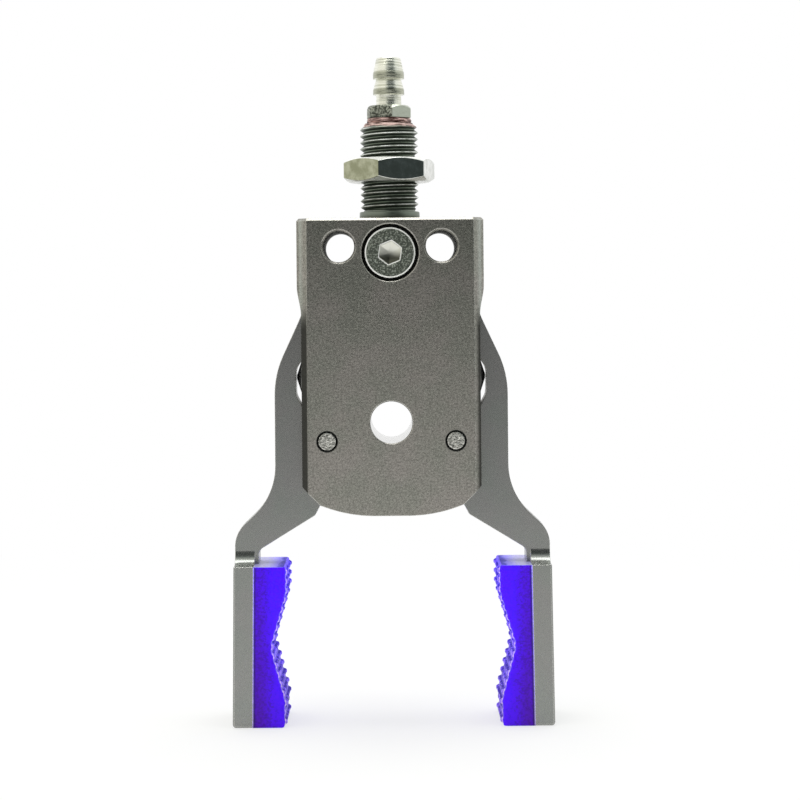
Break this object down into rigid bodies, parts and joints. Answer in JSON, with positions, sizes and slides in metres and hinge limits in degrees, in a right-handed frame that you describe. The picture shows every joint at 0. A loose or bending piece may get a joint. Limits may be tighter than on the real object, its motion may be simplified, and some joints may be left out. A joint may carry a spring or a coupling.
{
  "type": "pneumatic gripper",
  "caption": "Small pneumatic angular gripper: flat body on a threaded hollow stem with a hose barb, and swinging arms whose jaws carry nubbed rubber pads.",
  "frame": {"origin": "on the threaded stem's axis, level with the lock nut's upper face", "axes": "+Z along the stem towards the hose barb, -Y out of the front face with the stem screw, +X towards the right arm as the front is seen"},
  "size_m": [0.0538, 0.018, 0.1124],
  "materials": {
    "body_anodised": "fine matte hard anodised",
    "arm_anodised": "matte hard anodised",
    "stem_steel": "turned, dull",
    "dark_steel": "blackened, satin",
    "nut_plating": "plated, satin",
    "nickelled_brass": "nickel plated, bright",
    "gasket_red": "matte",
    "pad_rubber": "translucent, slightly glossy",
    "pin_steel": "ground",
    "bush_bronze": "plain sintered",
    "piston_dark": "dark hard anodised",
    "black_rubber": "matte",
    "spring_steel": "drawn wire"
  },
  "bodies": {
    "frame": {"body": "body_anodised", "threaded_stem": "stem_steel", "stem_ring": "black_rubber", "stem_screw": "dark_steel", "lock_nut": "nut_plating", "hose_barb": "nickelled_brass", "barb_gasket": "gasket_red", "right_pivot_pin": "pin_steel", "left_pivot_pin": "pin_steel", "right_return_spring": "spring_steel", "left_return_spring": "spring_steel"},
    "right_jaw": {"right_arm": "arm_anodised", "right_pad": "pad_rubber", "right_pivot_bush": "bush_bronze"},
    "left_jaw": {"left_arm": "arm_anodised", "left_pad": "pad_rubber", "left_pivot_bush": "bush_bronze"},
    "right_plunger": {"right_piston": "piston_dark", "right_piston_ring": "black_rubber"},
    "left_plunger": {"left_piston": "piston_dark", "left_piston_ring": "black_rubber"}
  },
  "joints": [
    {"name": "right_jaw_hinge", "type": "hinge", "parent": "frame", "child": "right_jaw", "pos_m": [0.0107, 0, -0.0474], "axis": [0, 1, 0], "range_deg": [0, 21], "stiffness_Nm_per_rad": 0.072, "springref_deg": -17.19, "deforming": ["right_return_spring"]},
    {"name": "left_jaw_hinge", "type": "hinge", "parent": "frame", "child": "left_jaw", "pos_m": [-0.0107, 0, -0.0474], "axis": [0, -1, 0], "range_deg": [0, 21], "stiffness_Nm_per_rad": 0.072, "springref_deg": -17.19, "deforming": ["left_return_spring"]},
    {"name": "right_piston_slide", "type": "slide", "parent": "frame", "child": "right_plunger", "axis": [1, 0, 0], "range_m": [0, 0.0035]},
    {"name": "left_piston_slide", "type": "slide", "parent": "frame", "child": "left_plunger", "axis": [-1, 0, 0], "range_m": [0, 0.0035]}
  ],
  "couplings": [
    {"joint": "right_piston_slide", "follows": "right_jaw_hinge", "m_per_rad": 0.0094},
    {"joint": "left_piston_slide", "follows": "left_jaw_hinge", "m_per_rad": 0.0094}
  ]
}
